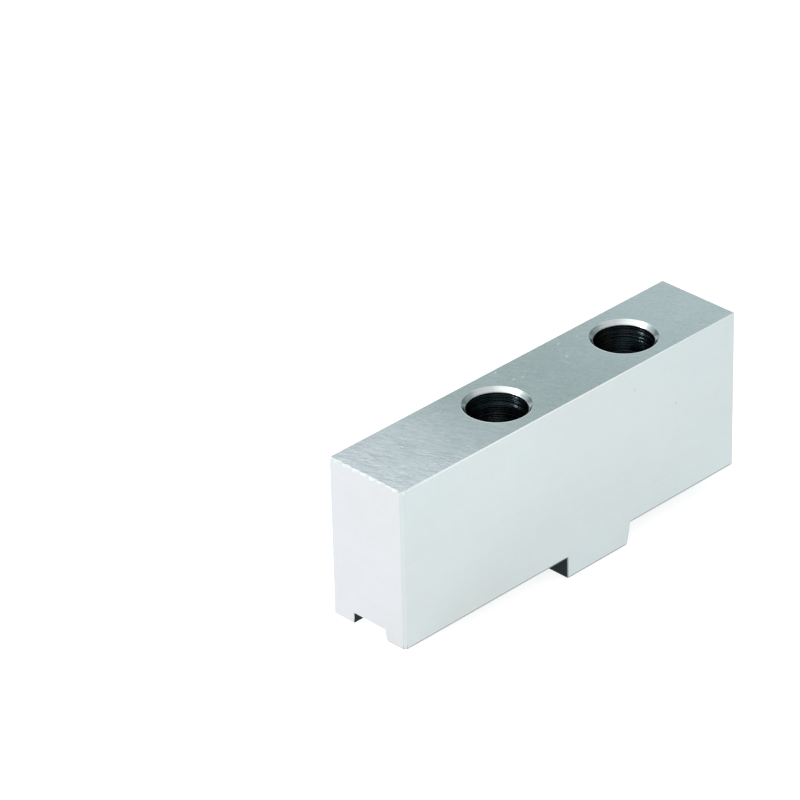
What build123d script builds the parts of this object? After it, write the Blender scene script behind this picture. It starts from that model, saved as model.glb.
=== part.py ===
from build123d import *
import os

# Hard top jaw for a lathe chuck, tongue-and-groove type, one block of steel.
# Frame: +X runs along the jaw from the end with the long plain land (-X) to the
# end with the short land (+X), +Y across it, +Z up from the seat to the side
# that the screw heads enter. Origin: middle of the bounding box, at the bottom
# of the cross key. Millimetres.

# block
LENGTH = 99.0            # along X
WIDTH = 20.5             # across Y
BODY_H = 37.4            # seat face to top face
KEY_DROP = 5.1           # cross key below the seat face

# screw holes, on the centre line
SPACING = 38.1           # hole to hole
FIRST_HOLE = 37.7        # -X end to the first hole
CBORE_D = 13.0           # takes the head of a 5/16 in cap screw
CBORE_DEPTH = 24.0
SHANK_D = 8.5            # clearance for its shank
MOUTH_D = 14.8           # countersunk mouth of the counterbore
MOUTH_DEPTH = 1.0
STEP_BREAK = 0.4         # edge break at the screw head's seat

# cross key, square to the length, between the two holes
KEY_W = 19.05
KEY_OFF = 0.4            # its middle is this far past the middle of the holes
KEY_LEAN = 0.85          # the +X flank leans in by this much at the bottom
KEY_LEAN_START = 0.9     # and is square for this far below the seat

# lengthwise groove, open at both ends, cut through the key as well
GROOVE_W = 9.1
GROOVE_DEPTH = 2.5       # into the body from the seat face
MOUTH_Y = 0.55           # lead-in on the groove's -Y lip
MOUTH_Z = 1.6

# edge breaks
CORNER_BREAK = 0.15      # three of the block's upright corners
NOSE_BREAK = 0.6         # the upright corner at -X, -Y, broken more
TOP_BREAK = 0.2          # round the top face
SEAT_BREAK = 0.2         # round the seat face
KEY_BREAK = 0.2          # round the key's bottom
KEY_FAR_BREAK = 0.4      # along its +X bottom edge
KEY_CORNER = 0.2         # key's upright corners

# derived
x_near = -LENGTH / 2
x_far = LENGTH / 2
y_side = WIDTH / 2
z_seat = KEY_DROP
z_top = KEY_DROP + BODY_H
hole_1 = x_near + FIRST_HOLE
hole_2 = hole_1 + SPACING
key_mid = (hole_1 + hole_2) / 2 + KEY_OFF
key_a = key_mid - KEY_W / 2
key_b = key_mid + KEY_W / 2
groove_top = z_seat + GROOVE_DEPTH


def prism_x(points, x0, x1):
    """Closed outline of (y, z) points, pulled along X from x0 to x1."""
    face = make_face(Polyline(*[(x0, y, z) for y, z in points], close=True).edges())
    return extrude(face, amount=x1 - x0, dir=(1, 0, 0))


def prism_y(points, y0, y1):
    """Closed outline of (x, z) points, pulled along Y from y0 to y1."""
    face = make_face(Polyline(*[(x, y0, z) for x, z in points], close=True).edges())
    return extrude(face, amount=y1 - y0, dir=(0, 1, 0))


# the block itself, with its upright corners and its rims broken
block = Pos(0, 0, (z_seat + z_top) / 2) * Box(LENGTH, WIDTH, BODY_H)
corners = block.edges().filter_by(Axis.Z)
nose = [e for e in corners if e.center().X < 0 and e.center().Y < 0]
block = chamfer(nose, NOSE_BREAK)
others = [
    e
    for e in block.edges().filter_by(Axis.Z)
    if abs(abs(e.center().X) - LENGTH / 2) < 0.01 and abs(abs(e.center().Y) - WIDTH / 2) < 0.01
]
block = chamfer(others, CORNER_BREAK)
block = chamfer(block.faces().sort_by(Axis.Z)[-1].edges(), TOP_BREAK)
block = chamfer(block.faces().sort_by(Axis.Z)[0].edges(), SEAT_BREAK)

# the cross key: square -X flank, +X flank leaning in a little towards the bottom
key = prism_y(
    [
        (key_a, z_seat + 2.0),
        (key_a, 0.0),
        (key_b - KEY_LEAN, 0.0),
        (key_b, z_seat - KEY_LEAN_START),
        (key_b, z_seat + 2.0),
    ],
    -y_side,
    y_side,
)
upright = [e for e in key.edges() if abs(e.tangent_at(0.5).Z) > 0.9]
key = chamfer(upright, KEY_CORNER)
key = chamfer(key.faces().sort_by(Axis.Z)[0].edges().sort_by(Axis.X)[-1], KEY_FAR_BREAK)
key = chamfer(key.faces().sort_by(Axis.Z)[0].edges().sort_by(Axis.X)[:-1], KEY_BREAK)
jaw = block + key

# lengthwise groove, right through the body and the key
half = GROOVE_W / 2
jaw -= prism_x(
    [
        (-half, -1.0),
        (half, -1.0),
        (half, groove_top),
        (-half, groove_top),
    ],
    x_near - 1,
    x_far + 1,
)
# lead-in along the groove's lip on its -Y side, along the seat face either side of the key
lip = [
    (-half - MOUTH_Y - 0.4 * MOUTH_Y / MOUTH_Z, z_seat - 0.4),
    (-half + 0.5, z_seat - 0.4),
    (-half + 0.5, z_seat + MOUTH_Z),
    (-half, z_seat + MOUTH_Z),
]
jaw -= prism_x(lip, x_near - 1, key_a - 0.001)
jaw -= prism_x(lip, key_b + 0.001, x_far + 1)

# counterbored screw holes
for x in (hole_1, hole_2):
    shank = Pos(x, 0, z_top / 2) * Cylinder(SHANK_D / 2, z_top + 4)
    z_step = z_top - CBORE_DEPTH
    head = Pos(x, 0, z_step + (CBORE_DEPTH + 2) / 2) * Cylinder(CBORE_D / 2, CBORE_DEPTH + 2)
    slope = (MOUTH_D - CBORE_D) / 2 / MOUTH_DEPTH
    mouth = Pos(x, 0, z_top - MOUTH_DEPTH + (MOUTH_DEPTH + 0.5) / 2) * Cone(
        CBORE_D / 2, MOUTH_D / 2 + slope * 0.5, MOUTH_DEPTH + 0.5
    )
    step = Pos(x, 0, z_step - STEP_BREAK + (STEP_BREAK + 0.2) / 2) * Cone(
        SHANK_D / 2, SHANK_D / 2 + STEP_BREAK + 0.2, STEP_BREAK + 0.2
    )
    jaw = jaw - shank - head - mouth - step

solid = jaw.solids()[0]
solid.label = "jaw_body"

os.makedirs("parts", exist_ok=True)
export_step(solid, "parts/jaw_body.step")

box = solid.bounding_box()
print("box", box.min, box.max)
print("solids", len(jaw.solids()), "faces", len(solid.faces()), "valid", solid.is_valid)
print("volume cm3", round(solid.volume / 1000, 3), "mass kg", round(solid.volume * 7.85e-6, 4))
print("centre of mass", solid.center(CenterOf.MASS))
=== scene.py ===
import math
import random

import bmesh
import bpy
import numpy as np
from mathutils import Matrix, Vector
from mathutils.geometry import delaunay_2d_cdt


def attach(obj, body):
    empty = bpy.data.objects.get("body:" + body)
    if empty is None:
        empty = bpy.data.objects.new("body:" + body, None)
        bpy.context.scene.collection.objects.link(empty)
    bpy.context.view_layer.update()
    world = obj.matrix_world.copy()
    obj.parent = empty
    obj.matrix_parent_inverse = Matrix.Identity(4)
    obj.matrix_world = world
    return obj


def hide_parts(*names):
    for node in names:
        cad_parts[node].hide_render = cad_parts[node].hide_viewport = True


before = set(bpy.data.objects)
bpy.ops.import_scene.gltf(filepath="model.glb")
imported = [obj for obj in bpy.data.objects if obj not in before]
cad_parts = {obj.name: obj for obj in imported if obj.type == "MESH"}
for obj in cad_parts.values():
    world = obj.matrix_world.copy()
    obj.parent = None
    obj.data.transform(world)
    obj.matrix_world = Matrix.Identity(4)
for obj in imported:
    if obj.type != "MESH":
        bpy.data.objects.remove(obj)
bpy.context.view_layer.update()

# ---------------------------------------------------------------- sizes, mm
LEN, WID = 99.0, 20.5
ZS, ZT = 5.1, 42.5                 # seat face, top face
X0, X1, Y0, Y1 = -LEN / 2, LEN / 2, -WID / 2, WID / 2
HOLES = (-11.8, 26.3)              # screw holes along X
KA, KB, KB0, ZL = -1.875, 17.175, 16.325, ZS - 0.9   # cross key, its far flank leans in
GW, GT = 4.55, ZS + 2.5            # groove: half width, roof
LIP_Y, LIP_Z = -GW - 0.55, ZS + 1.6
NOSE = 0.6                         # flat on the upright corner at -X, -Y
MOUTH_R, BORE_R, SHANK_R = 7.4, 6.5, 4.25
CB_DEPTH, MOUTH_DEPTH, STEP_BREAK = 24.0, 1.0, 0.4
RIM = 0.15                         # how far the mouth's slightly raised rim reaches out
AROUND = 128                       # corners round a hole
ROUND = 0.4                        # bevel width that a weight of 1 stands for

TOP, SIDE, END, EDGE, RECESS, MOUTH, BORE = range(7)


def wave(t, seed, octaves=4, base=1.0):
    """Smooth seeded noise of one number, about -1 to 1."""
    r = random.Random(seed)
    v, a, total = 0.0, 1.0, 0.0
    for i in range(octaves):
        f = base * (1.9 ** i)
        v += a * (math.sin(t * f * r.uniform(0.8, 1.2) + r.uniform(0, 6.28))
                  + math.sin(t * f * r.uniform(1.3, 1.7) + r.uniform(0, 6.28))) * 0.5
        total += a
        a *= 0.6
    return v / total


# ---------------------------------------------------------------- sharp block
def z_face(z, pts):
    return [(x, y, z) for x, y in pts]


def y_face(y, pts):
    return [(x, y, z) for x, z in pts]


def x_face(x, pts):
    return [(x, y, z) for y, z in pts]


SHARP = [
    z_face(ZT, [(X0, Y0 + NOSE), (X0 + NOSE, Y0), (X1, Y0), (X1, Y1), (X0, Y1)]),
    y_face(Y0, [(X0 + NOSE, ZS), (KA, ZS), (KA, 0), (KB0, 0), (KB, ZL), (KB, ZS), (X1, ZS), (X1, ZT), (X0 + NOSE, ZT)]),
    y_face(Y1, [(X0, ZS), (KA, ZS), (KA, 0), (KB0, 0), (KB, ZL), (KB, ZS), (X1, ZS), (X1, ZT), (X0, ZT)]),
    [(X0, Y0 + NOSE, ZS), (X0 + NOSE, Y0, ZS), (X0 + NOSE, Y0, ZT), (X0, Y0 + NOSE, ZT)],
    x_face(X0, [(Y0 + NOSE, ZS), (LIP_Y, ZS), (-GW, LIP_Z), (-GW, GT), (GW, GT), (GW, ZS), (Y1, ZS), (Y1, ZT), (Y0 + NOSE, ZT)]),
    x_face(X1, [(Y0, ZS), (LIP_Y, ZS), (-GW, LIP_Z), (-GW, GT), (GW, GT), (GW, ZS), (Y1, ZS), (Y1, ZT), (Y0, ZT)]),
    z_face(ZS, [(X0, Y0 + NOSE), (X0 + NOSE, Y0), (KA, Y0), (KA, LIP_Y), (X0, LIP_Y)]),
    z_face(ZS, [(KB, Y0), (X1, Y0), (X1, LIP_Y), (KB, LIP_Y)]),
    z_face(ZS, [(X0, GW), (KA, GW), (KA, Y1), (X0, Y1)]),
    z_face(ZS, [(KB, GW), (X1, GW), (X1, Y1), (KB, Y1)]),
    [(X0, LIP_Y, ZS), (KA, LIP_Y, ZS), (KA, -GW, LIP_Z), (X0, -GW, LIP_Z)],
    [(KB, LIP_Y, ZS), (X1, LIP_Y, ZS), (X1, -GW, LIP_Z), (KB, -GW, LIP_Z)],
    y_face(-GW, [(X0, LIP_Z), (KA, LIP_Z), (KA, 0), (KB0, 0), (KB, ZL), (KB, LIP_Z), (X1, LIP_Z), (X1, GT), (X0, GT)]),
    y_face(GW, [(X0, ZS), (KA, ZS), (KA, 0), (KB0, 0), (KB, ZL), (KB, ZS), (X1, ZS), (X1, GT), (X0, GT)]),
    z_face(GT, [(X0, -GW), (X1, -GW), (X1, GW), (X0, GW)]),
    x_face(KA, [(Y0, 0), (-GW, 0), (-GW, LIP_Z), (LIP_Y, ZS), (Y0, ZS)]),
    x_face(KB, [(Y0, ZL), (-GW, ZL), (-GW, LIP_Z), (LIP_Y, ZS), (Y0, ZS)]),
    [(KB0, Y0, 0), (KB0, -GW, 0), (KB, -GW, ZL), (KB, Y0, ZL)],
    z_face(0, [(KA, Y0), (KB0, Y0), (KB0, -GW), (KA, -GW)]),
    x_face(KA, [(GW, 0), (Y1, 0), (Y1, ZS), (GW, ZS)]),
    x_face(KB, [(GW, ZL), (Y1, ZL), (Y1, ZS), (GW, ZS)]),
    [(KB0, GW, 0), (KB0, Y1, 0), (KB, Y1, ZL), (KB, GW, ZL)],
    z_face(0, [(KA, GW), (KB0, GW), (KB0, Y1), (KA, Y1)]),
]


def near(a, b, tol=1e-3):
    return abs(a - b) < tol


def edge_break(a, b, convex):
    """Width of the edge break, mm, of the sharp edge from a to b."""
    if not convex:
        return 0.0
    along = (b - a).normalized()
    m = (a + b) / 2
    if near(a.z, ZT) and near(b.z, ZT):
        return 0.2
    if near(abs(along.z), 1.0):
        if near(a.x, X1) or (near(a.x, X0) and near(a.y, Y1)):
            return 0.15
        if near(abs(a.y), GW):
            return 0.14                                  # groove walls' ends
        if near(a.x, X0) or near(a.x, X0 + NOSE):
            return 0.06
        if near(abs(a.y), Y1):
            return 0.2                                   # key's upright corners
        return 0.07                                      # key flank to groove wall
    if near(a.z, ZS) and near(b.z, ZS):
        if near(abs(a.y), Y1) and near(abs(b.y), Y1) or near(abs(a.x), X1) and near(abs(b.x), X1):
            return 0.2
        if near(abs(along.x), 1.0):
            return 0.07                                  # groove's lips
        return 0.2 if abs(m.y) > 8 else 0.07
    if near(a.z, 0.0) and near(b.z, 0.0):
        if near(m.x, KB0):
            return 0.4
        if near(m.x, KA) or near(abs(m.y), Y1):
            return 0.2
        return 0.07
    if near(abs(m.y), Y1):
        return 0.2                                       # key's leaning corner
    if near(m.z, ZL) and near(a.z, b.z):
        return 0.0                                       # where the flank starts to lean
    return 0.07


def stations(a, b):
    """Places between a and b on an edge, 0 to 1, so that wear can vary along it."""
    d = (b - a).length
    step = 2.0 if d > 30 else 2.5
    if near(a.z, ZT) and near(b.z, ZT):
        step = 1.2
        if near(a.x, X0) and near(b.x, X0):
            step = 0.12
        elif near(a.y, Y0) and near(b.y, Y0):
            step = 0.3
    if d < step * 1.5:
        return []
    edge = max(0.5, min(step, 1.0))                      # clear of the corners' own rounding
    if d < 2.5 * edge:
        return []
    count = max(1, int((d - 2 * edge) / step))
    return [(edge + (d - 2 * edge) * k / count) / d for k in range(count + 1)]


def sharp_block():
    bm = bmesh.new()
    known = {}

    def vert(p):
        key = tuple(round(c, 4) for c in p)
        if key not in known:
            known[key] = bm.verts.new(Vector(p))
        return known[key]

    # corners of one face that lie inside another face's edge go into that edge
    corners = {tuple(round(c, 4) for c in p) for f in SHARP for p in f}
    for f in SHARP:
        ring = []
        for i, p in enumerate(f):
            q = f[(i + 1) % len(f)]
            a, b = Vector(p), Vector(q)
            d = (b - a).length
            inside = [(0.0, p)]
            for c in corners:
                v = Vector(c) - a
                t = v.dot(b - a) / d
                if 1e-3 < t < d - 1e-3 and (v - (b - a) * (t / d)).length < 1e-3:
                    inside.append((t, c))
            inside.sort()
            stops = [s for _, s in inside] + [q]
            for s, e in zip(stops, stops[1:]):
                lo, hi = (s, e) if tuple(s) <= tuple(e) else (e, s)
                pts = [Vector(lo).lerp(Vector(hi), t) for t in stations(Vector(lo), Vector(hi))]
                if lo is not s:
                    pts.reverse()
                ring.append(vert(s))
                ring.extend(vert(x) for x in pts)
        bm.faces.new(ring)
    bm.verts.ensure_lookup_table()
    bmesh.ops.recalc_face_normals(bm, faces=bm.faces)
    return bm


def rounded_block():
    bm = sharp_block()
    for f in bm.faces:
        f.normal_update()
    layer = bm.edges.layers.float.new("bevel_weight_edge")
    for e in bm.edges:
        if len(e.link_faces) != 2:
            raise RuntimeError(f"open edge {[tuple(v.co) for v in e.verts]}")
        convex = e.calc_face_angle_signed(0.0) > 0.05
        e[layer] = min(1.0, edge_break(e.verts[0].co, e.verts[1].co, convex) / ROUND)
    mesh = bpy.data.meshes.new("sharp")
    bm.to_mesh(mesh)
    bm.free()
    obj = bpy.data.objects.new("sharp", mesh)
    bpy.context.scene.collection.objects.link(obj)
    mod = obj.modifiers.new("bevel", "BEVEL")
    mod.limit_method = "WEIGHT"
    mod.width = ROUND
    mod.segments = 3
    mod.profile = 0.5
    mod.use_clamp_overlap = False
    mod.loop_slide = True
    dg = bpy.context.evaluated_depsgraph_get()
    done = bpy.data.meshes.new_from_object(obj.evaluated_get(dg))
    bpy.data.objects.remove(obj)
    bpy.data.meshes.remove(mesh)
    out = bmesh.new()
    out.from_mesh(done)
    bpy.data.meshes.remove(done)
    return out


# ---------------------------------------------------------------- the two worn top edges
# rubs along the -X top edge, where the grinding lines run out over it: each from its deep
# start to its shallow end in y, and how strong it is
RUBS = (
    (8.90, 6.65, 1.10),
    (6.50, 4.00, 1.00),
    (3.75, 1.45, 1.05),
    (1.40, -0.95, 0.90),
    (-0.95, -3.35, 1.10),
    (-3.45, -5.70, 1.00),
    (-5.85, -7.20, 0.50),
    (-7.55, -9.60, 1.15),
)


def fade(y, lo, hi, over):
    return max(0.0, min(1.0, (y - lo) / over, (hi - y) / over))


def rub(y, rise):
    """Saw-tooth over the rubs: climbs over the share `rise` of each one, then falls off."""
    for a, b, d in RUBS:
        if b <= y <= a:
            t = (a - y) / (a - b)
            return d * min(t / rise, (1 - t) / (1 - rise))
    return 0.0


def end_edge_top(y):
    """How far the -X top edge's break reaches into the top face at y."""
    k = fade(y, Y0 + NOSE + 0.2, Y1 - 0.25, 0.7)
    return 0.2 + k * (-0.08 + 0.27 * rub(y, 0.85) + 0.02 * wave(y, 5, base=5.0))


def end_edge_low(y):
    """And how far it reaches down the end face."""
    k = fade(y, Y0 + NOSE + 0.2, Y1 - 0.25, 0.7)
    return 0.2 + k * (0.02 + 0.48 * rub(y, 0.10) + 0.02 * wave(y, 6, base=4.0))


def long_edge_top(x):
    k = fade(x, X0 + NOSE + 0.2, X1 - 0.25, 0.8)
    nose = max(0.0, 1 - (x - X0) / 24.0)
    far = max(0.0, (x - X0) / LEN)
    return 0.2 + k * (-0.08 - 0.02 * far + 0.02 * wave(x, 7, base=3.0) + nose * (0.06 + 0.16 * max(0.0, wave(x, 8, base=11.0))))


def long_edge_low(x):
    k = fade(x, X0 + NOSE + 0.2, X1 - 0.25, 0.8)
    nose = max(0.0, 1 - (x - X0) / 24.0)
    far = max(0.0, (x - X0) / LEN)
    return 0.2 + k * (0.14 - 0.07 * far + 0.02 * wave(x, 9, base=2.0) + nose * nose * (0.26 + 0.16 * wave(x, 10, base=11.0)))


def break_profile(a, b, t):
    """(inwards, down) of a worn edge break that reaches a into the upper face and b down the other."""
    c = Vector((a / 2, b / 2)) * 0.84
    p0, p3 = Vector((a, 0.0)), Vector((0.0, b))
    return p0 * (1 - t) ** 2 + c * 2 * t * (1 - t) + p3 * t * t


def wear_top_edges(bm):
    for v in bm.verts:
        x, y, z = v.co
        if z < ZT - 0.2005:
            continue
        if x < X0 + 0.2005 and Y0 + NOSE + 0.21 < y < Y1 - 0.26:
            t = math.atan2((x - (X0 + 0.2)) * -1, z - (ZT - 0.2)) / (math.pi / 2)
            t = round(t * 3) / 3
            p = break_profile(end_edge_top(y), end_edge_low(y), t)
            v.co.x, v.co.z = X0 + p[0], ZT - p[1]
        elif y < Y0 + 0.2005 and X0 + NOSE + 0.21 < x < X1 - 0.26:
            t = math.atan2((y - (Y0 + 0.2)) * -1, z - (ZT - 0.2)) / (math.pi / 2)
            t = round(t * 3) / 3
            p = break_profile(long_edge_top(x), long_edge_low(x), t)
            v.co.y, v.co.z = Y0 + p[0], ZT - p[1]


def wear_low_edges(bm):
    """The seat's and the key's long bottom edges are broken more up the sides than underneath."""
    spans = ((ZS, X0 + NOSE + 0.5, KA - 0.5), (ZS, KB + 0.5, X1 - 0.5), (0.0, KA + 0.5, KB0 - 0.7))
    for v in bm.verts:
        x, y, z = v.co
        for level, a, b in spans:
            if a < x < b and abs(y) > Y1 - 0.2005 and level - 1e-4 < z < level + 0.2005:
                s = 1.0 if y > 0 else -1.0
                out = Y1 - abs(y)
                v.co.y = s * (Y1 - out * 0.6)
                v.co.z = level + (z - level) * 1.65
                break


# ---------------------------------------------------------------- flat faces
# small marks: (face, place on it, radius, depth, stretch, turn)
NICKS = [
    ("top", (-2.7, 4.2), 0.42, 0.05, 2.4, 0.5), ("top", (-0.8, 3.4), 0.34, 0.05, 2.6, 0.45),
    ("top", (14.4, 7.7), 0.26, 0.05, 1.2, 0.0), ("top", (12.0, 2.9), 0.28, 0.06, 1.3, 1.0),
    ("top", (19.5, 7.1), 0.24, 0.05, 1.2, 0.3), ("top", (-3.1, 8.9), 0.26, 0.05, 1.6, 0.9),
    ("top", (-37.1, 2.1), 0.34, 0.05, 1.8, 1.2), ("top", (-36.2, -6.7), 0.30, 0.05, 1.6, 0.2),
    ("top", (-21.9, 6.3), 0.22, 0.04, 1.4, 0.8), ("top", (38.8, -3.6), 0.22, 0.04, 1.7, 2.0),
    ("side", (18.5, 36.9), 0.36, 0.05, 1.2, 0.3), ("side", (31.3, 28.1), 0.40, 0.06, 1.1, 1.2),
    ("side", (-27.2, 16.4), 0.26, 0.03, 1.5, 0.6),
    ("back", (-31.0, 24.5), 0.32, 0.05, 1.5, 0.4), ("back", (8.6, 31.2), 0.28, 0.04, 1.3, 1.1),
    ("back", (37.0, 13.8), 0.36, 0.05, 1.2, 2.2),
]


def dent(face, u, v):
    """Depth of the small marks at a place on a face, and its slopes along u and v."""
    h, gu, gv = 0.0, 0.0, 0.0
    for name, (cu, cv), r, d, s, turn in NICKS:
        if name != face:
            continue
        du, dv = u - cu, v - cv
        if abs(du) > 2 or abs(dv) > 2:
            continue
        c, n = math.cos(turn), math.sin(turn)
        a, b = (du * c + dv * n) / (r * s), (-du * n + dv * c) / r
        q = a * a + b * b
        if q > 2.25:
            continue
        # a small pit with a raised lip round it
        pit = -d * math.exp(-3.2 * q)
        lip = 0.22 * d * math.exp(-9.0 * (math.sqrt(q) - 1.0) ** 2)
        h += pit + lip
        dq = 3.2 * d * math.exp(-3.2 * q) + lip * -18.0 * (math.sqrt(q) - 1.0) / (2 * max(1e-4, math.sqrt(q)))
        qa, qb = 2 * a / (r * s), 2 * b / r
        gu += dq * (qa * c - qb * n)
        gv += dq * (qa * n + qb * c)
    return h, gu, gv


def nick_points(face):
    pts = []
    for name, (cu, cv), r, d, s, turn in NICKS:
        if name != face:
            continue
        c, n = math.cos(turn), math.sin(turn)
        pts.append((cu, cv))
        for ring, count in ((0.25, 6), (0.5, 10), (0.75, 14), (1.0, 18), (1.25, 18), (1.5, 18)):
            for k in range(count):
                w = 2 * math.pi * (k + 0.5 * (ring * 4 % 2)) / count
                a, b = math.cos(w) * r * s * ring, math.sin(w) * r * ring
                pts.append((cu + a * c - b * n, cv + a * n + b * c))
    return pts


def inside(poly, u, v):
    hit = False
    j = len(poly) - 1
    for i in range(len(poly)):
        (x1, y1), (x2, y2) = poly[i], poly[j]
        if (y1 > v) != (y2 > v) and u < (x2 - x1) * (v - y1) / (y2 - y1) + x1:
            hit = not hit
        j = i
    return hit


def ring_points(cx, cy, r):
    return [(cx + r * math.cos(2 * math.pi * k / AROUND), cy + r * math.sin(2 * math.pi * k / AROUND)) for k in range(AROUND)]


class Skin:
    """Corners, faces, a material and a normal for each face corner."""

    def __init__(self):
        self.verts, self.index = [], {}
        self.faces, self.mats, self.normals = [], [], []

    def vert(self, p):
        key = (round(p[0] * 5000), round(p[1] * 5000), round(p[2] * 5000))
        if key not in self.index:
            self.index[key] = len(self.verts)
            self.verts.append((p[0], p[1], p[2]))
        return self.index[key]

    def face(self, pts, mat, normals):
        ids = [self.vert(p) for p in pts]
        keep = [i for i in range(len(ids)) if ids[i] != ids[i - 1]]
        if len({ids[i] for i in keep}) < 3:
            return
        turn, look = Vector((0, 0, 0)), Vector((0, 0, 0))
        first = Vector(pts[keep[0]])
        for a, b in zip(keep[1:], keep[2:]):
            turn += (Vector(pts[a]) - first).cross(Vector(pts[b]) - first)
        for i in keep:
            look += Vector(normals[i])
        if turn.dot(look) < 0:
            keep.reverse()
        self.faces.append([ids[i] for i in keep])
        self.mats.append(mat)
        self.normals.append([tuple(normals[i]) for i in keep])


def fill_flat(skin, outline, axes, level, outward, mat, pitch, rings=(), marks=None):
    """Fills one flat outline, which may have round holes, with well-shaped triangles."""
    iu, iv, iw = axes
    poly = [(p[iu], p[iv]) for p in outline]
    pts = list(poly)
    edges = [(i, (i + 1) % len(poly)) for i in range(len(poly))]
    loops = []
    for ring in rings:
        s = len(pts)
        pts += ring
        edges += [(s + i, s + (i + 1) % len(ring)) for i in range(len(ring))]
        loops.append(ring)
    extra = nick_points(marks) if marks else []
    us, vs = [p[0] for p in poly], [p[1] for p in poly]
    r = random.Random(len(poly))
    row, v = 0, min(vs) + pitch * 0.6
    solid = np.array(pts)
    grid = []
    while v < max(vs) - pitch * 0.4:
        u = min(us) + pitch * (0.6 if row % 2 else 1.1)
        while u < max(us) - pitch * 0.4:
            grid.append((u + r.uniform(-0.12, 0.12) * pitch, v + r.uniform(-0.12, 0.12) * pitch))
            u += pitch
        v += pitch * 0.87
        row += 1
    # rings of wider and wider spacing let the hole's fine corners run out into the grid
    for ring in rings:
        cx, cy = sum(p[0] for p in ring) / len(ring), sum(p[1] for p in ring) / len(ring)
        rad = math.hypot(ring[0][0] - cx, ring[0][1] - cy)
        for grow, count in ((0.35, 96), (0.9, 64), (1.7, 48)):
            for k in range(count):
                w = 2 * math.pi * (k + 0.5) / count
                extra.append((cx + (rad + grow) * math.cos(w), cy + (rad + grow) * math.sin(w)))
    fixed = np.array(extra) if extra else np.zeros((0, 2))
    for p in grid + extra:
        if not inside(poly, *p) or any(inside(l, *p) for l in loops):
            continue
        d = np.min(np.hypot(solid[:, 0] - p[0], solid[:, 1] - p[1]))
        if p in extra:
            if d < 0.12:
                continue
        elif d < pitch * 0.45 or (len(fixed) and np.min(np.hypot(fixed[:, 0] - p[0], fixed[:, 1] - p[1])) < pitch * 0.35):
            continue
        pts.append(p)
    out, _, tris, origin, _, _ = delaunay_2d_cdt([Vector(p) for p in pts], edges, [], 0, 1e-5, True)
    where = [pts[o[0]] if o else (out[i][0], out[i][1]) for i, o in enumerate(origin)]
    for t in tris:
        c = [where[i] for i in t]
        mu, mv = sum(p[0] for p in c) / 3, sum(p[1] for p in c) / 3
        if not inside(poly, mu, mv) or any(inside(l, mu, mv) for l in loops):
            continue
        corners, normals = [], []
        for u, v in c:
            p = [0.0, 0.0, 0.0]
            p[iu], p[iv], p[iw] = u, v, level
            n = [0.0, 0.0, 0.0]
            n[iw] = outward
            if marks:
                h, gu, gv = dent(marks, u, v)
                p[iw] += outward * h
                n[iu], n[iv] = -gu, -gv
            corners.append(tuple(p))
            normals.append(Vector(n).normalized())
        a, b, d3 = (Vector(x) for x in corners)
        if (b - a).cross(d3 - a).length < 2e-4:
            continue                                     # three corners on one line
        if (b - a).cross(d3 - a)[iw] * outward < 0:
            corners.reverse()
            normals.reverse()
        skin.face(corners, mat, normals)


# ---------------------------------------------------------------- holes
def bore_profile(seed):
    """(radius, depth below the top, material) down a hole, with the turning rings of the counterbore."""
    r = random.Random(seed)
    pts = [(MOUTH_R + RIM, 0.0, EDGE), (MOUTH_R + 0.10, -0.010, EDGE), (MOUTH_R + 0.04, -0.022, EDGE),
           (MOUTH_R, -0.026, EDGE), (MOUTH_R - 0.03, -0.010, EDGE), (MOUTH_R - 0.06, 0.03, MOUTH)]
    low_r, low_z = BORE_R + 0.06, MOUTH_DEPTH - 0.06
    for k in range(1, 7):
        t = k / 7
        pts.append((MOUTH_R - 0.06 + t * (low_r - MOUTH_R + 0.06), 0.03 + t * (low_z - 0.03), MOUTH))
    pts += [(BORE_R + 0.045, MOUTH_DEPTH - 0.05, EDGE), (BORE_R + 0.012, MOUTH_DEPTH, EDGE), (BORE_R, MOUTH_DEPTH + 0.07, BORE)]
    z = MOUTH_DEPTH + 0.2
    while z < CB_DEPTH - 0.9:
        pitch = r.uniform(0.36, 0.45)
        deep = r.uniform(0.055, 0.085)
        for t in (0.0, 0.06, 0.25, 0.5, 0.75, 0.94) if z < 11 else (0.0, 0.25, 0.5, 0.75):
            # a tool mark: a rounded trough with a sharper crest
            pts.append((BORE_R - 0.025 + 4 * deep * t * (1 - t), z + pitch * t, BORE))
        z += pitch
    pts += [(BORE_R, CB_DEPTH - 0.45, BORE), (BORE_R - 0.03, CB_DEPTH - 0.25, BORE), (BORE_R - 0.12, CB_DEPTH - 0.09, BORE),
            (BORE_R - 0.3, CB_DEPTH, BORE)]
    for k in range(1, 8):
        t = k / 8
        pts.append((BORE_R - 0.3 - t * (BORE_R - 0.3 - SHANK_R - STEP_BREAK - 0.05), CB_DEPTH + 0.008 * math.sin(k * 2.1), BORE))
    pts += [(SHANK_R + STEP_BREAK + 0.03, CB_DEPTH, BORE), (SHANK_R + STEP_BREAK * 0.5, CB_DEPTH + STEP_BREAK * 0.5, BORE),
            (SHANK_R, CB_DEPTH + STEP_BREAK + 0.02, BORE)]
    z = CB_DEPTH + STEP_BREAK + 0.6
    while z < ZT - GT - 0.5:
        pts.append((SHANK_R + r.uniform(-0.008, 0.012), z, BORE))
        z += 0.55
    pts += [(SHANK_R, ZT - GT - 0.12, BORE), (SHANK_R + 0.03, ZT - GT - 0.03, BORE), (SHANK_R + 0.09, ZT - GT, RECESS)]
    return pts


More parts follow.
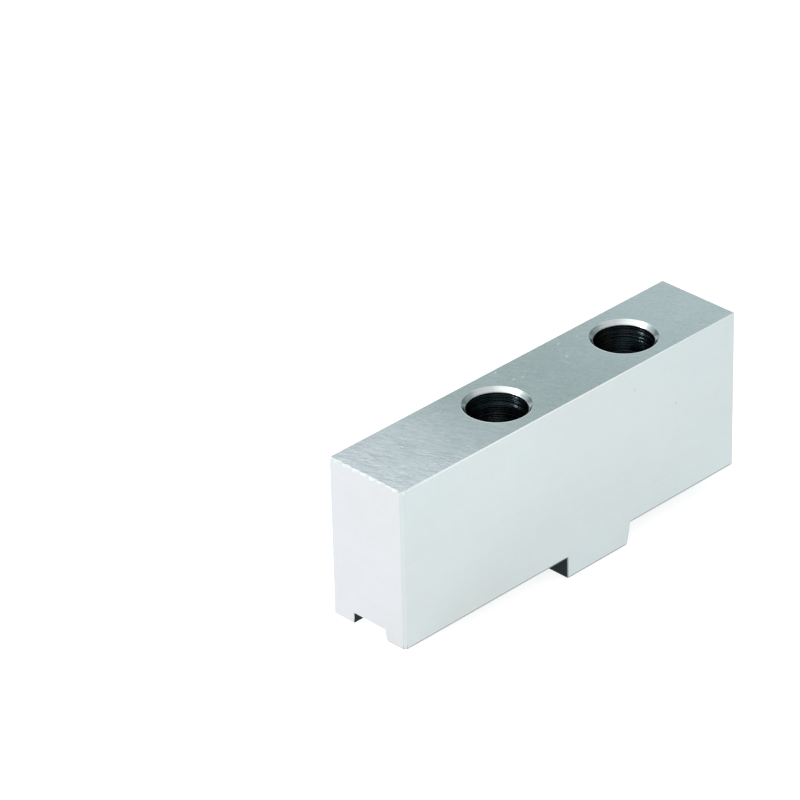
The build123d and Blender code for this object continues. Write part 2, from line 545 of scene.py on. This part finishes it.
def add_hole(skin, cx, seed):
    prof = bore_profile(seed)
    n = len(prof)
    grid = []
    for i, (r, d, m) in enumerate(prof):
        row = []
        for k in range(AROUND):
            w = 2 * math.pi * k / AROUND
            rr, dd = r, d
            if d < 0:
                # the rim stands up a little on one side only
                dd *= max(0.0, min(1.0, 0.15 - 1.1 * (0.695 * math.cos(w) + 0.719 * math.sin(w))))
            if 0 < i < n - 1:
                if m == MOUTH:
                    rr += 0.012 * wave(w * 3 + i * 0.6, seed + 3, octaves=3, base=2.0)
                elif m == BORE and d < CB_DEPTH - 0.5:
                    rr += 0.010 * wave(w * 2 + d * 0.7, seed + 4, octaves=3, base=1.0)
            row.append((cx + rr * math.cos(w), rr * math.sin(w), ZT - dd))
        grid.append(row)
    # normals from the grid itself
    g = np.array(grid)
    du = np.roll(g, -1, 1) - np.roll(g, 1, 1)
    dv = np.zeros_like(g)
    dv[1:-1] = g[2:] - g[:-2]
    dv[0], dv[-1] = g[1] - g[0], g[-1] - g[-2]
    nn = np.cross(du, dv)
    nn /= np.linalg.norm(nn, axis=2)[:, :, None]
    axis = np.array([cx, 0.0, 0.0])
    inward = axis - g
    inward[:, :, 2] = 0.0
    if np.mean(np.sum(nn[20:60] * inward[20:60], axis=2)) < 0:
        nn = -nn
    nn[0] = (0, 0, 1)
    nn[-1] = (0, 0, -1)
    for i in range(n - 1):
        base = prof[i + 1][2] if prof[i][2] != EDGE else EDGE
        for k in range(AROUND):
            j = (k + 1) % AROUND
            w = 2 * math.pi * (k + 0.5) / AROUND
            lift = 0.15 - 1.1 * (0.695 * math.cos(w) + 0.719 * math.sin(w))
            # the raised near side of the rim keeps the edge material with its painted highlight; the rest of the rim
            # takes the top face's
            mat = TOP if i < 3 and lift < 0.35 else base
            skin.face([grid[i][k], grid[i][j], grid[i + 1][j], grid[i + 1][k]][::-1], mat,
                      [nn[i][k], nn[i][j], nn[i + 1][j], nn[i + 1][k]][::-1])


# ---------------------------------------------------------------- the whole skin
PLANES = [  # axis, level, outward, material, grid pitch, marks
    (2, ZT, 1, TOP, 1.6, "top"),
    (1, Y0, -1, SIDE, 3.0, "side"), (1, Y1, 1, SIDE, 3.0, "back"),
    (0, X0, -1, END, 3.0, None), (0, X1, 1, END, 3.0, None),
    (2, ZS, -1, SIDE, 2.5, None), (2, GT, -1, RECESS, 2.5, None), (2, 0.0, -1, SIDE, 2.0, None),
    (1, -GW, 1, RECESS, 2.0, None), (1, GW, -1, RECESS, 2.0, None),
    (0, KA, -1, RECESS, 1.5, None), (0, KB, 1, RECESS, 1.5, None),
]


def worn_normal(p, k):
    """The two worn top edges are rubbed to one even slope, which their shading keeps to."""
    if p.x < X0 + 0.9 and p.y > Y0 + NOSE + 0.2:
        t = max(math.radians(24), min(math.radians(44), math.atan2(-k.x, k.z)))
        return Vector((-math.sin(t), 0.08 * k.y, math.cos(t))).normalized()
    t = max(math.radians(22), min(math.radians(34), math.atan2(-k.y, k.z)))
    return Vector((0.08 * k.x, -math.sin(t), math.cos(t))).normalized()


def tuck_key_corners(bm):
    """The groove walls' corners at the key's far bottom edge go back inside its larger break."""
    for v in bm.verts:
        if near(abs(v.co.y), GW) and KB0 - 0.2 < v.co.x < KB0 and 0.05 < v.co.z < 0.09:
            v.co.x, v.co.z = KB0 - 0.103, 0.126


def build_skin():
    bm = rounded_block()
    tuck_key_corners(bm)
    wear_top_edges(bm)
    wear_low_edges(bm)
    bm.normal_update()
    skin = Skin()
    flat = {}
    for f in bm.faces:
        for p, (axis, level, outward, *_rest) in enumerate(PLANES):
            if abs(f.normal[axis] - outward) < 1e-4 and all(abs(v.co[axis] - level) < 2e-4 for v in f.verts):
                flat[f.index] = p
                break
    # planar faces at an angle: nose, lips, leaning flanks
    slanted = {}
    nose_n = Vector((-1, -1, 0)).normalized()
    lip_n = Vector((0, 1.6, -0.55)).normalized()
    lean_n = Vector((ZL, 0, -(KB - KB0))).normalized()
    for f in bm.faces:
        if f.index in flat:
            continue
        for n, m in ((nose_n, SIDE), (lip_n, RECESS), (lean_n, RECESS)):
            if f.normal.dot(n) > 0.99999 and f.calc_area() > 1.0:
                slanted[f.index] = m
    smooth = {}
    for v in bm.verts:
        n = Vector((0, 0, 0))
        for f in v.link_faces:
            if f.index not in flat and f.index not in slanted:
                n += f.normal * f.calc_area()
        smooth[v.index] = n.normalized() if n.length > 1e-12 else None
    for f in bm.faces:
        if f.index in flat:
            axis, level, outward, mat, pitch, marks = PLANES[flat[f.index]]
            axes = {0: (1, 2, 0), 1: (0, 2, 1), 2: (0, 1, 2)}[axis]
            rings = []
            if axis == 2 and level == ZT:
                rings = [ring_points(h, 0.0, MOUTH_R + RIM) for h in HOLES]
            elif axis == 2 and level == GT:
                rings = [ring_points(h, 0.0, SHANK_R + 0.09) for h in HOLES]
            fill_flat(skin, [v.co.copy() for v in f.verts], axes, level, outward, mat, pitch, rings, marks)
            continue
        if f.index in slanted:
            tri = bmesh_triangles(f)
            for t in tri:
                skin.face([v.co.copy() for v in t], slanted[f.index], [f.normal.copy()] * 3)
            continue
        normals = []
        worn = any(v.co.z > ZT - 0.9 for v in f.verts) and all(
            v.co.z > ZT - 0.9 and (v.co.x < X0 + 0.9 and Y0 + NOSE < v.co.y < Y1 - 0.2
                                   or v.co.y < Y0 + 0.6 and X0 + NOSE < v.co.x < X1 - 0.2) for v in f.verts)
        for v in f.verts:
            if worn:
                normals.append(worn_normal(v.co, smooth[v.index] or f.normal))
                continue
            best, score = None, 0.6
            for g in v.link_faces:
                if g.index in flat or g.index in slanted:
                    s = g.normal.dot(f.normal)
                    if s > score:
                        best, score = g.normal, s
            normals.append((best or smooth[v.index] or f.normal).copy())
        skin.face([v.co.copy() for v in f.verts], EDGE, normals)
    bm.free()
    for i, h in enumerate(HOLES):
        add_hole(skin, h, 40 + 10 * i)
    return skin


def bmesh_triangles(face):
    """Triangles of one flat face with many corners."""
    n = face.normal
    u = n.orthogonal().normalized()
    w = n.cross(u)
    verts = list(face.verts)
    pts = [Vector((v.co.dot(u), v.co.dot(w))) for v in verts]
    edges = [(i, (i + 1) % len(pts)) for i in range(len(pts))]
    out, _, tris, origin, _, _ = delaunay_2d_cdt(pts, edges, [], 0, 1e-6, True)
    poly = [(p.x, p.y) for p in pts]
    found = []
    for t in tris:
        ids = [origin[i][0] for i in t]
        c = (pts[ids[0]] + pts[ids[1]] + pts[ids[2]]) / 3
        if not inside(poly, c.x, c.y):
            continue
        a, b, d = (verts[i].co for i in ids)
        if (b - a).cross(d - a).dot(n) < 0:
            ids.reverse()
        if (b - a).cross(d - a).length > 2e-4:
            found.append([verts[i] for i in ids])
    return found


def make_jaw(materials):
    skin = build_skin()
    mesh = bpy.data.meshes.new("jaw")
    mesh.from_pydata([(x * 0.001, y * 0.001, z * 0.001) for x, y, z in skin.verts], [], skin.faces)
    for m in materials:
        mesh.materials.append(m)
    mesh.polygons.foreach_set("material_index", skin.mats)
    mesh.polygons.foreach_set("use_smooth", [True] * len(skin.faces))
    mesh.update()
    mesh.normals_split_custom_set([n for f in skin.normals for n in f])
    obj = bpy.data.objects.new("jaw", mesh)
    bpy.context.scene.collection.objects.link(obj)
    return obj


# ---------------------------------------------------------------- materials
class Mat:
    """Short names for a node material."""

    def __init__(self, name):
        self.m = bpy.data.materials.new(name)
        self.m.use_nodes = True
        self.t = self.m.node_tree
        self.t.nodes.clear()
        self.out = self.t.nodes.new("ShaderNodeOutputMaterial")
        self.bsdf = self.t.nodes.new("ShaderNodeBsdfPrincipled")
        self.t.links.new(self.bsdf.outputs[0], self.out.inputs[0])
        self.coord = self.t.nodes.new("ShaderNodeTexCoord").outputs["Object"]

    def link(self, a, b):
        self.t.links.new(a, b)

    def turned(self, rotation=(0, 0, 0), scale=(1, 1, 1), location=(0, 0, 0)):
        n = self.t.nodes.new("ShaderNodeMapping")
        n.inputs["Rotation"].default_value = rotation
        n.inputs["Scale"].default_value = scale
        n.inputs["Location"].default_value = location
        self.link(self.coord, n.inputs[0])
        return n.outputs[0]

    def rescaled(self, vector, scale):
        n = self.t.nodes.new("ShaderNodeMapping")
        n.inputs["Scale"].default_value = scale
        self.link(vector, n.inputs[0])
        return n.outputs[0]

    def noise(self, vector, scale, detail=3.0, rough=0.5, distortion=0.0):
        n = self.t.nodes.new("ShaderNodeTexNoise")
        n.inputs["Scale"].default_value = scale
        n.inputs["Detail"].default_value = detail
        n.inputs["Roughness"].default_value = rough
        n.inputs["Distortion"].default_value = distortion
        self.link(vector, n.inputs["Vector"])
        return n.outputs["Fac"]

    def math(self, op, a, b=None, c=None, clamp=False):
        n = self.t.nodes.new("ShaderNodeMath")
        n.operation = op
        n.use_clamp = clamp
        for i, v in enumerate((a, b, c)):
            if v is None:
                continue
            if isinstance(v, (int, float)):
                n.inputs[i].default_value = v
            else:
                self.link(v, n.inputs[i])
        return n.outputs[0]

    def fit(self, value, lo, hi, to_lo, to_hi, smooth=False):
        n = self.t.nodes.new("ShaderNodeMapRange")
        n.interpolation_type = "SMOOTHSTEP" if smooth else "LINEAR"
        n.inputs["From Min"].default_value = lo
        n.inputs["From Max"].default_value = hi
        n.inputs["To Min"].default_value = to_lo
        n.inputs["To Max"].default_value = to_hi
        self.link(value, n.inputs["Value"])
        return n.outputs[0]

    def mix(self, fac, a, b):
        n = self.t.nodes.new("ShaderNodeMix")
        n.data_type = "RGBA"
        if isinstance(fac, (int, float)):
            n.inputs[0].default_value = fac
        else:
            self.link(fac, n.inputs[0])
        for s, v in ((6, a), (7, b)):
            if isinstance(v, tuple):
                n.inputs[s].default_value = (*v, 1.0)
            else:
                self.link(v, n.inputs[s])
        return n.outputs[2]

    def scaled(self, colour, value):
        """colour times a number that varies."""
        n = self.t.nodes.new("ShaderNodeVectorMath")
        n.operation = "SCALE"
        self.link(colour, n.inputs[0])
        self.link(value, n.inputs["Scale"])
        return n.outputs[0]

    def split(self, vector):
        n = self.t.nodes.new("ShaderNodeSeparateXYZ")
        self.link(vector, n.inputs[0])
        return n.outputs

    def bump(self, height, distance, strength=1.0, normal=None):
        n = self.t.nodes.new("ShaderNodeBump")
        n.inputs["Strength"].default_value = strength
        n.inputs["Distance"].default_value = distance
        self.link(height, n.inputs["Height"])
        if normal is not None:
            self.link(normal, n.inputs["Normal"])
        return n.outputs[0]

    def done(self, colour=None, rough=None, normal=None, metallic=1.0):
        self.bsdf.inputs["Metallic"].default_value = metallic
        for name, v in (("Base Color", colour), ("Roughness", rough), ("Normal", normal)):
            if v is None:
                continue
            if isinstance(v, tuple):
                self.bsdf.inputs[name].default_value = (*v, 1.0)
            elif isinstance(v, (int, float)):
                self.bsdf.inputs[name].default_value = v
            else:
                self.link(v, self.bsdf.inputs[name])
        return self.m


STEEL = (0.575, 0.615, 0.618)
# painted light: the long sides' steel is tinted a little apart from STEEL, to match the light they reflect
FLANK = (0.560, 0.613, 0.615)
# painted shade: darker spots in the small dents of the long side: (place, radius), metres
DENT_SHADE = {"ground_side": (((0.01846, -0.01025, 0.03691), 0.00040), ((0.03133, -0.01025, 0.02813), 0.00044))}


def tone(c, k, warm=0.0):
    return (c[0] * k * (1 + warm), c[1] * k, c[2] * k * (1 - warm))


def top_material():
    m = Mat("ground_top")
    # grinding lines run across the jaw, turned about 25 degrees and slightly curved
    close = m.fit(m.split(m.coord)[0], -0.049, -0.016, 1.0, 0.25, smooth=True)
    bend = m.math("ADD", m.fit(m.noise(m.coord, 18.0, 1.0), 0.3, 0.7, -0.0016, 0.0016), m.math("MULTIPLY", m.fit(m.noise(m.coord, 110.0, 2.0), 0.3, 0.7, -0.0005, 0.0005), close))
    x, y, z = m.split(m.coord)
    yy = m.math("MULTIPLY", m.math("MULTIPLY", y, y), 3.5)          # the curve of a ring wheel's marks
    comb = m.t.nodes.new("ShaderNodeCombineXYZ")
    m.link(m.math("ADD", m.math("ADD", x, bend), yy), comb.inputs[0])
    m.link(y, comb.inputs[1])
    m.link(z, comb.inputs[2])

    def lines(angle, across, along, detail, rough=0.6, seed=0.0):
        n = m.t.nodes.new("ShaderNodeMapping")
        n.inputs["Rotation"].default_value = (0, 0, math.radians(angle))
        n.inputs["Location"].default_value = (seed, seed * 0.7, 0)
        m.link(comb.outputs[0], n.inputs[0])
        return m.noise(m.rescaled(n.outputs[0], (across, along, 1)), 1.0, detail, rough)

    fine = lines(-21, 4200, 230, 3.0)
    coarse = lines(-28, 2100, 140, 3.0, seed=0.013)
    cross = lines(-6, 2800, 200, 2.0, seed=0.031)
    cross2 = lines(-44, 3000, 210, 2.0, seed=0.047)
    # near the -X end the lines are deep, from there on the face is smoother
    near_end = m.fit(x, -0.049, -0.016, 1.0, 0.0, smooth=True)
    cloud = m.noise(m.coord, 95.0, 4.0, 0.6)
    patch = m.noise(m.rescaled(m.coord, (60, 110, 60)), 1.0, 3.0, 0.5)
    mottle = m.noise(m.coord, 1300.0, 3.0, 0.6)
    depth = m.math("ADD", m.math("MULTIPLY", near_end, 0.76), 0.24)
    rest = m.math("ADD", m.math("MULTIPLY", m.math("SUBTRACT", cross, 0.5), 0.7), m.math("MULTIPLY", m.math("SUBTRACT", cross2, 0.5), 0.7))
    streak = m.math("ADD", m.math("MULTIPLY", m.math("SUBTRACT", fine, 0.5), 1.0),
                    m.math("ADD", m.math("MULTIPLY", m.math("SUBTRACT", coarse, 0.5), 0.9), rest))
    worn = m.math("MULTIPLY", streak, depth)
    shade = m.math("ADD", 1.0, m.math("MULTIPLY", worn, 0.66))
    shade = m.math("ADD", shade, m.math("MULTIPLY", m.math("SUBTRACT", cloud, 0.5), 0.11))
    shade = m.math("ADD", shade, m.math("MULTIPLY", m.math("SUBTRACT", mottle, 0.5), 0.26))
    colour = m.mix(m.fit(patch, 0.35, 0.65, 0.0, 1.0), tone(STEEL, 1.01, 0.004), tone(STEEL, 1.03, -0.006))
    rough = m.math("ADD", m.math("ADD", 0.215, m.math("MULTIPLY", near_end, 0.05)),
                   m.math("ADD", m.math("MULTIPLY", worn, 0.15), m.math("MULTIPLY", m.math("SUBTRACT", cloud, 0.5), 0.06)), clamp=True)
    return m.done(m.scaled(colour, shade), rough, m.bump(worn, 0.00002, 0.5))


def flat_material(name, lengthwise, base_rough, seed, base):
    """Ground flanks: very fine lines in one direction and faint clouds."""
    m = Mat(name)
    place = m.turned(location=(seed, seed * 0.6, seed * 0.3))
    if lengthwise == "x":
        stretch, stretch2 = (90, 90, 1700), (50, 50, 620)
    elif lengthwise == "y":
        stretch, stretch2 = (90, 90, 1700), (50, 50, 620)
    else:
        stretch, stretch2 = (1700, 1700, 90), (620, 620, 50)
    fine = m.noise(m.rescaled(place, stretch), 1.0, 2.0, 0.55)
    coarse = m.noise(m.rescaled(place, stretch2), 1.0, 3.0, 0.55)
    cloud = m.noise(m.rescaled(place, (70, 70, 70)), 1.0, 4.0, 0.62, 0.3)
    big = m.noise(m.rescaled(place, (22, 22, 26)), 1.0, 2.0, 0.5)
    spot = m.noise(m.rescaled(place, (420, 420, 420)), 1.0, 3.0, 0.6)
    streak = m.math("ADD", m.math("MULTIPLY", m.math("SUBTRACT", fine, 0.5), 0.6), m.math("MULTIPLY", m.math("SUBTRACT", coarse, 0.5), 0.6))
    shade = m.math("ADD", 1.0, m.math("MULTIPLY", streak, 0.06))
    shade = m.math("ADD", shade, m.math("MULTIPLY", m.math("SUBTRACT", cloud, 0.5), 0.07))
    shade = m.math("ADD", shade, m.math("MULTIPLY", m.math("SUBTRACT", spot, 0.5), 0.03))
    # painted shade: the side material is made a little darker towards the -X end and lighter from the middle on
    if lengthwise == "x":
        shade = m.math("MULTIPLY", shade, m.fit(m.split(m.coord)[0], -0.046, 0.002, 0.978, 1.012))
    # painted shade in the two dents, darkest at each one's middle
    for at, size in DENT_SHADE.get(name, ()):
        d = m.t.nodes.new("ShaderNodeVectorMath")
        d.operation = "DISTANCE"
        d.inputs[1].default_value = at
        m.link(m.coord, d.inputs[0])
        ragged = m.math("ADD", d.outputs["Value"], m.fit(spot, 0.3, 0.7, -0.0001, 0.0001))
        shade = m.math("MULTIPLY", shade, m.fit(ragged, size * 0.35, size, 0.80, 1.0, smooth=True))
    colour = m.mix(m.fit(big, 0.35, 0.65, 0.0, 1.0), tone(base, 0.99, 0.012), tone(base, 1.01, -0.010))
    rough = m.math("ADD", base_rough, m.math("ADD", m.math("MULTIPLY", m.math("SUBTRACT", cloud, 0.5), 0.05),
                                             m.math("MULTIPLY", streak, 0.02)), clamp=True)
    return m.done(m.scaled(colour, shade), rough, m.bump(streak, 0.000004, 0.1))


def edge_material():
    m = Mat("broken_edges")
    along = m.noise(m.rescaled(m.coord, (900, 900, 900)), 1.0, 4.0, 0.65)
    slow = m.noise(m.rescaled(m.coord, (120, 120, 120)), 1.0, 2.0, 0.5)
    shade = m.math("ADD", m.fit(along, 0.3, 0.7, 0.93, 1.05), m.fit(slow, 0.3, 0.7, -0.05, 0.05))
    colour = m.mix(slow, tone(STEEL, 1.00, 0.01), tone(STEEL, 1.06, -0.005))
    z = m.split(m.coord)[2]
    # painted shade: edges below about 6 mm, round the seat and the key, are made much darker, as the shade under the
    # jaw
    shade = m.math("MULTIPLY", shade, m.fit(z, 0.0056, 0.0064, 0.40, 0.95, smooth=True))
    # painted highlight: the long top edges are made brighter, most from x = -30 to 0 mm and least towards +X; painted
    # shade: the -X end's edges are made a little darker
    x = m.split(m.coord)[0]
    edge_highlight = m.math("MULTIPLY", m.fit(m.math("ABSOLUTE", m.split(m.coord)[1]), 0.0096, 0.0098, 0.0, 1.0), m.fit(z, 0.0417, 0.0420, 0.0, 1.0))
    edge_highlight = m.math("MULTIPLY", edge_highlight, m.math("MINIMUM", m.fit(x, -0.0495, -0.03, 0.36, 0.52), m.fit(x, 0.0, 0.045, 0.52, 0.29)))
    shade = m.math("MULTIPLY", shade, m.math("ADD", m.fit(x, -0.0492, -0.0488, 0.94, 1.0), edge_highlight))
    # painted highlight: edges along the top face are made brighter than those below
    shade = m.math("MULTIPLY", shade, m.fit(z, 0.0412, 0.0417, 1.0, 1.16))
    rough = m.fit(along, 0.3, 0.7, 0.29, 0.38)
    return m.done(m.scaled(colour, shade), rough, m.bump(along, 0.00002, 0.2))


def mouth_material():
    m = Mat("countersink")
    spin = m.noise(m.rescaled(m.coord, (260, 260, 3000)), 1.0, 3.0, 0.6)
    blot = m.noise(m.rescaled(m.coord, (700, 700, 700)), 1.0, 3.0, 0.6)
    shade = m.math("ADD", m.fit(spin, 0.3, 0.7, 0.95, 1.05), m.fit(blot, 0.3, 0.7, -0.04, 0.04))
    # painted highlight: the countersink's steel is made about a third brighter than the other faces, to keep its bright
    # arc
    colour = m.mix(blot, tone(STEEL, 1.27, 0.01), tone(STEEL, 1.33, 0.0))
    return m.done(m.scaled(colour, shade), m.fit(spin, 0.3, 0.7, 0.22, 0.27), m.bump(spin, 0.00001, 0.2))


def bore_material():
    m = Mat("turned_bore")
    spin = m.noise(m.rescaled(m.coord, (160, 160, 1300)), 1.0, 4.0, 0.65)
    blot = m.noise(m.rescaled(m.coord, (240, 240, 240)), 1.0, 4.0, 0.6)
    z = m.split(m.coord)[2]
    # painted shade: the bore's upper 3 mm is made darker towards the mouth, against the light that falls in there
    shade = m.math("MULTIPLY", m.fit(spin, 0.3, 0.7, 0.62, 1.38), m.fit(z, 0.0385, 0.0414, 1.0, 0.55, smooth=True))
    colour = m.mix(m.fit(blot, 0.45, 0.72, 0.0, 1.0, smooth=True), (0.058, 0.084, 0.098), (0.088, 0.086, 0.077))
    return m.done(m.scaled(colour, shade), m.fit(spin, 0.3, 0.7, 0.20, 0.27), m.bump(spin, 0.00002, 0.3))


def recess_material():
    # painted shade: the groove's walls and roof and the key's flanks are made near black, as the shade under the jaw
    m = Mat("milled_underside")
    place = m.turned()
    fine = m.noise(m.rescaled(place, (90, 2600, 2600)), 1.0, 3.0, 0.55)
    cloud = m.noise(m.rescaled(place, (110, 110, 110)), 1.0, 4.0, 0.6)
    shade = m.math("ADD", m.fit(fine, 0.3, 0.7, 0.90, 1.08), m.fit(cloud, 0.3, 0.7, -0.08, 0.08))
    colour = m.mix(cloud, (0.010, 0.018, 0.020), (0.018, 0.027, 0.029))
    return m.done(m.scaled(colour, shade), m.fit(cloud, 0.3, 0.7, 0.30, 0.42), m.bump(fine, 0.00002, 0.3))


# painted light: the ends' base colour is a lavender tint of the same steel, to match the light they reflect
MATERIALS = [top_material(), flat_material("ground_side", "x", 0.31, 0.0, FLANK), flat_material("ground_end", "y", 0.31, 0.37, (0.594, 0.608, 0.630)),
             edge_material(), recess_material(), mouth_material(), bore_material()]
jaw = make_jaw(MATERIALS)
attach(jaw, "root")
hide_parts("jaw_body")

# ---------------------------------------------------------------- floor and light
FLOOR_R, WALL_R, WALL_H = 2.2, 2.7, 0.55
GLOW = 0.82


def make_floor():
    """A pale table top that curves up far away, so that low views see no edge."""
    bm = bmesh.new()
    n = 96
    prof = [(0.0, 0.0), (0.3, 0.0), (0.8, 0.0), (1.5, 0.0), (FLOOR_R, 0.0)]
    for k in range(1, 13):
        a = math.pi / 2 * k / 12
        prof.append((FLOOR_R + (WALL_R - FLOOR_R) * math.sin(a), (WALL_R - FLOOR_R) * (1 - math.cos(a))))
    prof.append((WALL_R, WALL_H))
    rows = []
    for r, z in prof:
        if r == 0.0:
            rows.append([bm.verts.new((0, 0, z))])
        else:
            rows.append([bm.verts.new((r * math.cos(2 * math.pi * k / n), r * math.sin(2 * math.pi * k / n), z)) for k in range(n)])
    for a, b in zip(rows, rows[1:]):
        for k in range(n):
            j = (k + 1) % n
            if len(a) == 1:
                bm.faces.new([a[0], b[k], b[j]])
            else:
                bm.faces.new([a[k], b[k], b[j], a[j]])
    mesh = bpy.data.meshes.new("floor")
    bm.to_mesh(mesh)
    bm.free()
    for p in mesh.polygons:
        p.use_smooth = True
    m = Mat("pale_floor")
    grain = m.noise(m.coord, 300.0, 2.0)
    x, y, z = m.split(m.coord)
    far = m.math("SQRT", m.math("ADD", m.math("MULTIPLY", x, x), m.math("MULTIPLY", y, y)))
    # a back-lit table top: it glows softly, a little less to the right, and gets greyer far away
    dim = m.math("MULTIPLY", m.fit(x, 0.0, 0.13, 1.0, 0.86, smooth=True), m.fit(far, 0.7, 1.9, 1.0, 0.22, smooth=True))
    # and dark where it curves up beyond the jaw, as an unlit room would be
    beyond = m.fit(m.math("ADD", x, y), 1.1, 1.9, 1.0, 0.32, smooth=True)
    dim = m.math("MULTIPLY", dim, beyond)
    colour = m.mix(m.fit(far, 0.9, 2.1, 0.0, 1.0, smooth=True), (0.50, 0.503, 0.506), (0.34, 0.375, 0.38))
    m.done(m.scaled(colour, m.math("MULTIPLY", beyond, m.fit(grain, 0.0, 1.0, 0.99, 1.01))), 0.9, metallic=0.0)
    m.bsdf.inputs["Specular IOR Level"].default_value = 0.1
    m.bsdf.inputs["Emission Color"].default_value = (1.0, 1.0, 1.0, 1.0)
    m.link(m.math("MULTIPLY", dim, GLOW), m.bsdf.inputs["Emission Strength"])
    mesh.materials.append(m.m)
    obj = bpy.data.objects.new("floor", mesh)
    bpy.context.scene.collection.objects.link(obj)
    return obj


make_floor()


def soft_light(name, at, to, wide, high, radiance, colour=(1, 1, 1)):
    """A soft box of that size and brightness that faces a point."""
    light = bpy.data.lights.new(name, "AREA")
    light.shape = "RECTANGLE"
    light.size, light.size_y = wide, high
    light.energy = radiance * math.pi * wide * high
    light.color = colour
    obj = bpy.data.objects.new(name, light)
    obj.location = at
    obj.rotation_euler = (Vector(to) - Vector(at)).to_track_quat("-Z", "Y").to_euler()
    bpy.context.scene.collection.objects.link(obj)
    obj.visible_camera = False
    return obj


def make_world():
    """A soft studio: bright high up and on the camera's side, dimmer overhead, low down and beyond the jaw."""
    world = bpy.data.worlds.new("studio")
    bpy.context.scene.world = world
    world.use_nodes = True
    t = world.node_tree
    t.nodes.clear()
    out = t.nodes.new("ShaderNodeOutputWorld")
    bg = t.nodes.new("ShaderNodeBackground")
    tc = t.nodes.new("ShaderNodeTexCoord")
    sep = t.nodes.new("ShaderNodeSeparateXYZ")
    t.links.new(tc.outputs["Generated"], sep.inputs[0])

    def ramp(stops):
        n = t.nodes.new("ShaderNodeValToRGB")
        n.color_ramp.interpolation = "EASE"
        while len(n.color_ramp.elements) < len(stops):
            n.color_ramp.elements.new(0.5)
        for e, (at, c) in zip(n.color_ramp.elements, stops):
            e.position = at
            e.color = (*(v / 3 for v in c), 1)
        t.links.new(sep.outputs[2], n.inputs[0])
        return n.outputs[0]

    dim = (0.428, 0.535, 0.528)
    open_side = ramp([(0.0, (0.60, 0.66, 0.66)), (0.28, dim), (0.46, dim), (0.60, (1.25, 1.25, 1.26)), (0.86, (1.33, 1.34, 1.35)), (0.93, (1.12, 1.13, 1.14)), (1.0, (0.86, 0.88, 0.89))])
    far_side = ramp([(0.0, (0.10, 0.12, 0.13)), (0.20, (0.13, 0.16, 0.17)), (0.36, dim), (0.56, dim), (0.74, (1.0, 1.06, 1.07)), (0.87, (1.30, 1.32, 1.33)), (0.93, (1.12, 1.13, 1.14)), (1.0, (0.86, 0.88, 0.89))])
    away = t.nodes.new("ShaderNodeVectorMath")
    away.operation = "DOT_PRODUCT"
    away.inputs[1].default_value = (0.695, 0.719, 0.0)
    t.links.new(tc.outputs["Generated"], away.inputs[0])
    side = t.nodes.new("ShaderNodeMapRange")
    side.interpolation_type = "SMOOTHSTEP"
    side.inputs["From Min"].default_value = 0.22
    side.inputs["From Max"].default_value = 0.58
    t.links.new(away.outputs["Value"], side.inputs["Value"])
    mix = t.nodes.new("ShaderNodeMix")
    mix.data_type = "RGBA"
    t.links.new(side.outputs[0], mix.inputs[0])
    t.links.new(open_side, mix.inputs[6])
    t.links.new(far_side, mix.inputs[7])
    t.links.new(mix.outputs[2], bg.inputs["Color"])
    # a little darker on the right
    right = t.nodes.new("ShaderNodeVectorMath")
    right.operation = "DOT_PRODUCT"
    right.inputs[1].default_value = (0.2, -0.98, 0.0)
    t.links.new(tc.outputs["Generated"], right.inputs[0])
    fall = t.nodes.new("ShaderNodeMapRange")
    fall.interpolation_type = "SMOOTHSTEP"
    for name, value in (("From Min", 0.1), ("From Max", 0.6), ("To Min", 3.0 * DOME), ("To Max", 1.7 * DOME)):
        fall.inputs[name].default_value = value
    t.links.new(right.outputs["Value"], fall.inputs["Value"])
    t.links.new(fall.outputs[0], bg.inputs["Strength"])
    t.links.new(bg.outputs[0], out.inputs[0])


DOME = 1.0
make_world()
# a soft box to the left, which draws the streak down the turned bores
soft_light("box_left", (-0.90, 0.41, 0.46), (0, 0, 0.03), 0.13, 0.50, 28.0)
# two dim strips beyond the jaw, which lift both ends of its top face


def strip(name, lo, hi, aside, radiance, colour):
    """A panel where the top face's reflection of the camera's view falls, its edges square to the jaw's length."""
    facing, along = Vector((0.76220, 0.0, 0.64735)), Vector((0.64735, 0.0, -0.76220))
    light = bpy.data.lights.new(name, "AREA")
    light.shape = "RECTANGLE"
    light.size, light.size_y = hi - lo, 0.20
    light.energy = radiance * math.pi * (hi - lo) * 0.20
    light.color = colour
    obj = bpy.data.objects.new(name, light)
    at = Vector((0.14965, 0.15475 + aside, 0.16960)) + along * ((lo + hi) / 2)
    obj.matrix_world = Matrix.Translation(at) @ Matrix((along, (0, 1, 0), facing)).transposed().to_4x4()
    bpy.context.scene.collection.objects.link(obj)
    obj.visible_camera = False


strip("strip_near", -0.115, -0.028, 0.045, 0.66, (1.05, 0.97, 1.10))
strip("strip_far", 0.0185, 0.115, -0.055, 0.25, (0.94, 0.98, 1.08))

# ---------------------------------------------------------------- camera, at the photo's viewing angle
RIGHT = Vector((0.7091376, -0.7046944, -0.0230154))
UP = Vector((0.3725299, 0.3467649, 0.8607994))
BACK = Vector((-0.5986195, -0.6189992, 0.5084237))
cam_data = bpy.data.cameras.new("camera")
cam_data.sensor_width = 36.0
cam_data.lens = 4605.513 / 800.0 * 36.0
cam_data.clip_start, cam_data.clip_end = 0.05, 20.0
cam = bpy.data.objects.new("camera", cam_data)
rot = Matrix((RIGHT, UP, BACK)).transposed().to_4x4()
cam.matrix_world = Matrix.Translation((-0.5880311, -0.5674376, 0.5214375)) @ rot
bpy.context.scene.collection.objects.link(cam)
bpy.context.scene.camera = cam

bpy.context.scene.view_settings.view_transform = "Standard"
bpy.context.scene.view_settings.look = "None"

bpy.context.view_layer.update()
print("triangles", sum(len(p.vertices) - 2 for p in jaw.data.polygons), "corners", len(jaw.data.vertices))
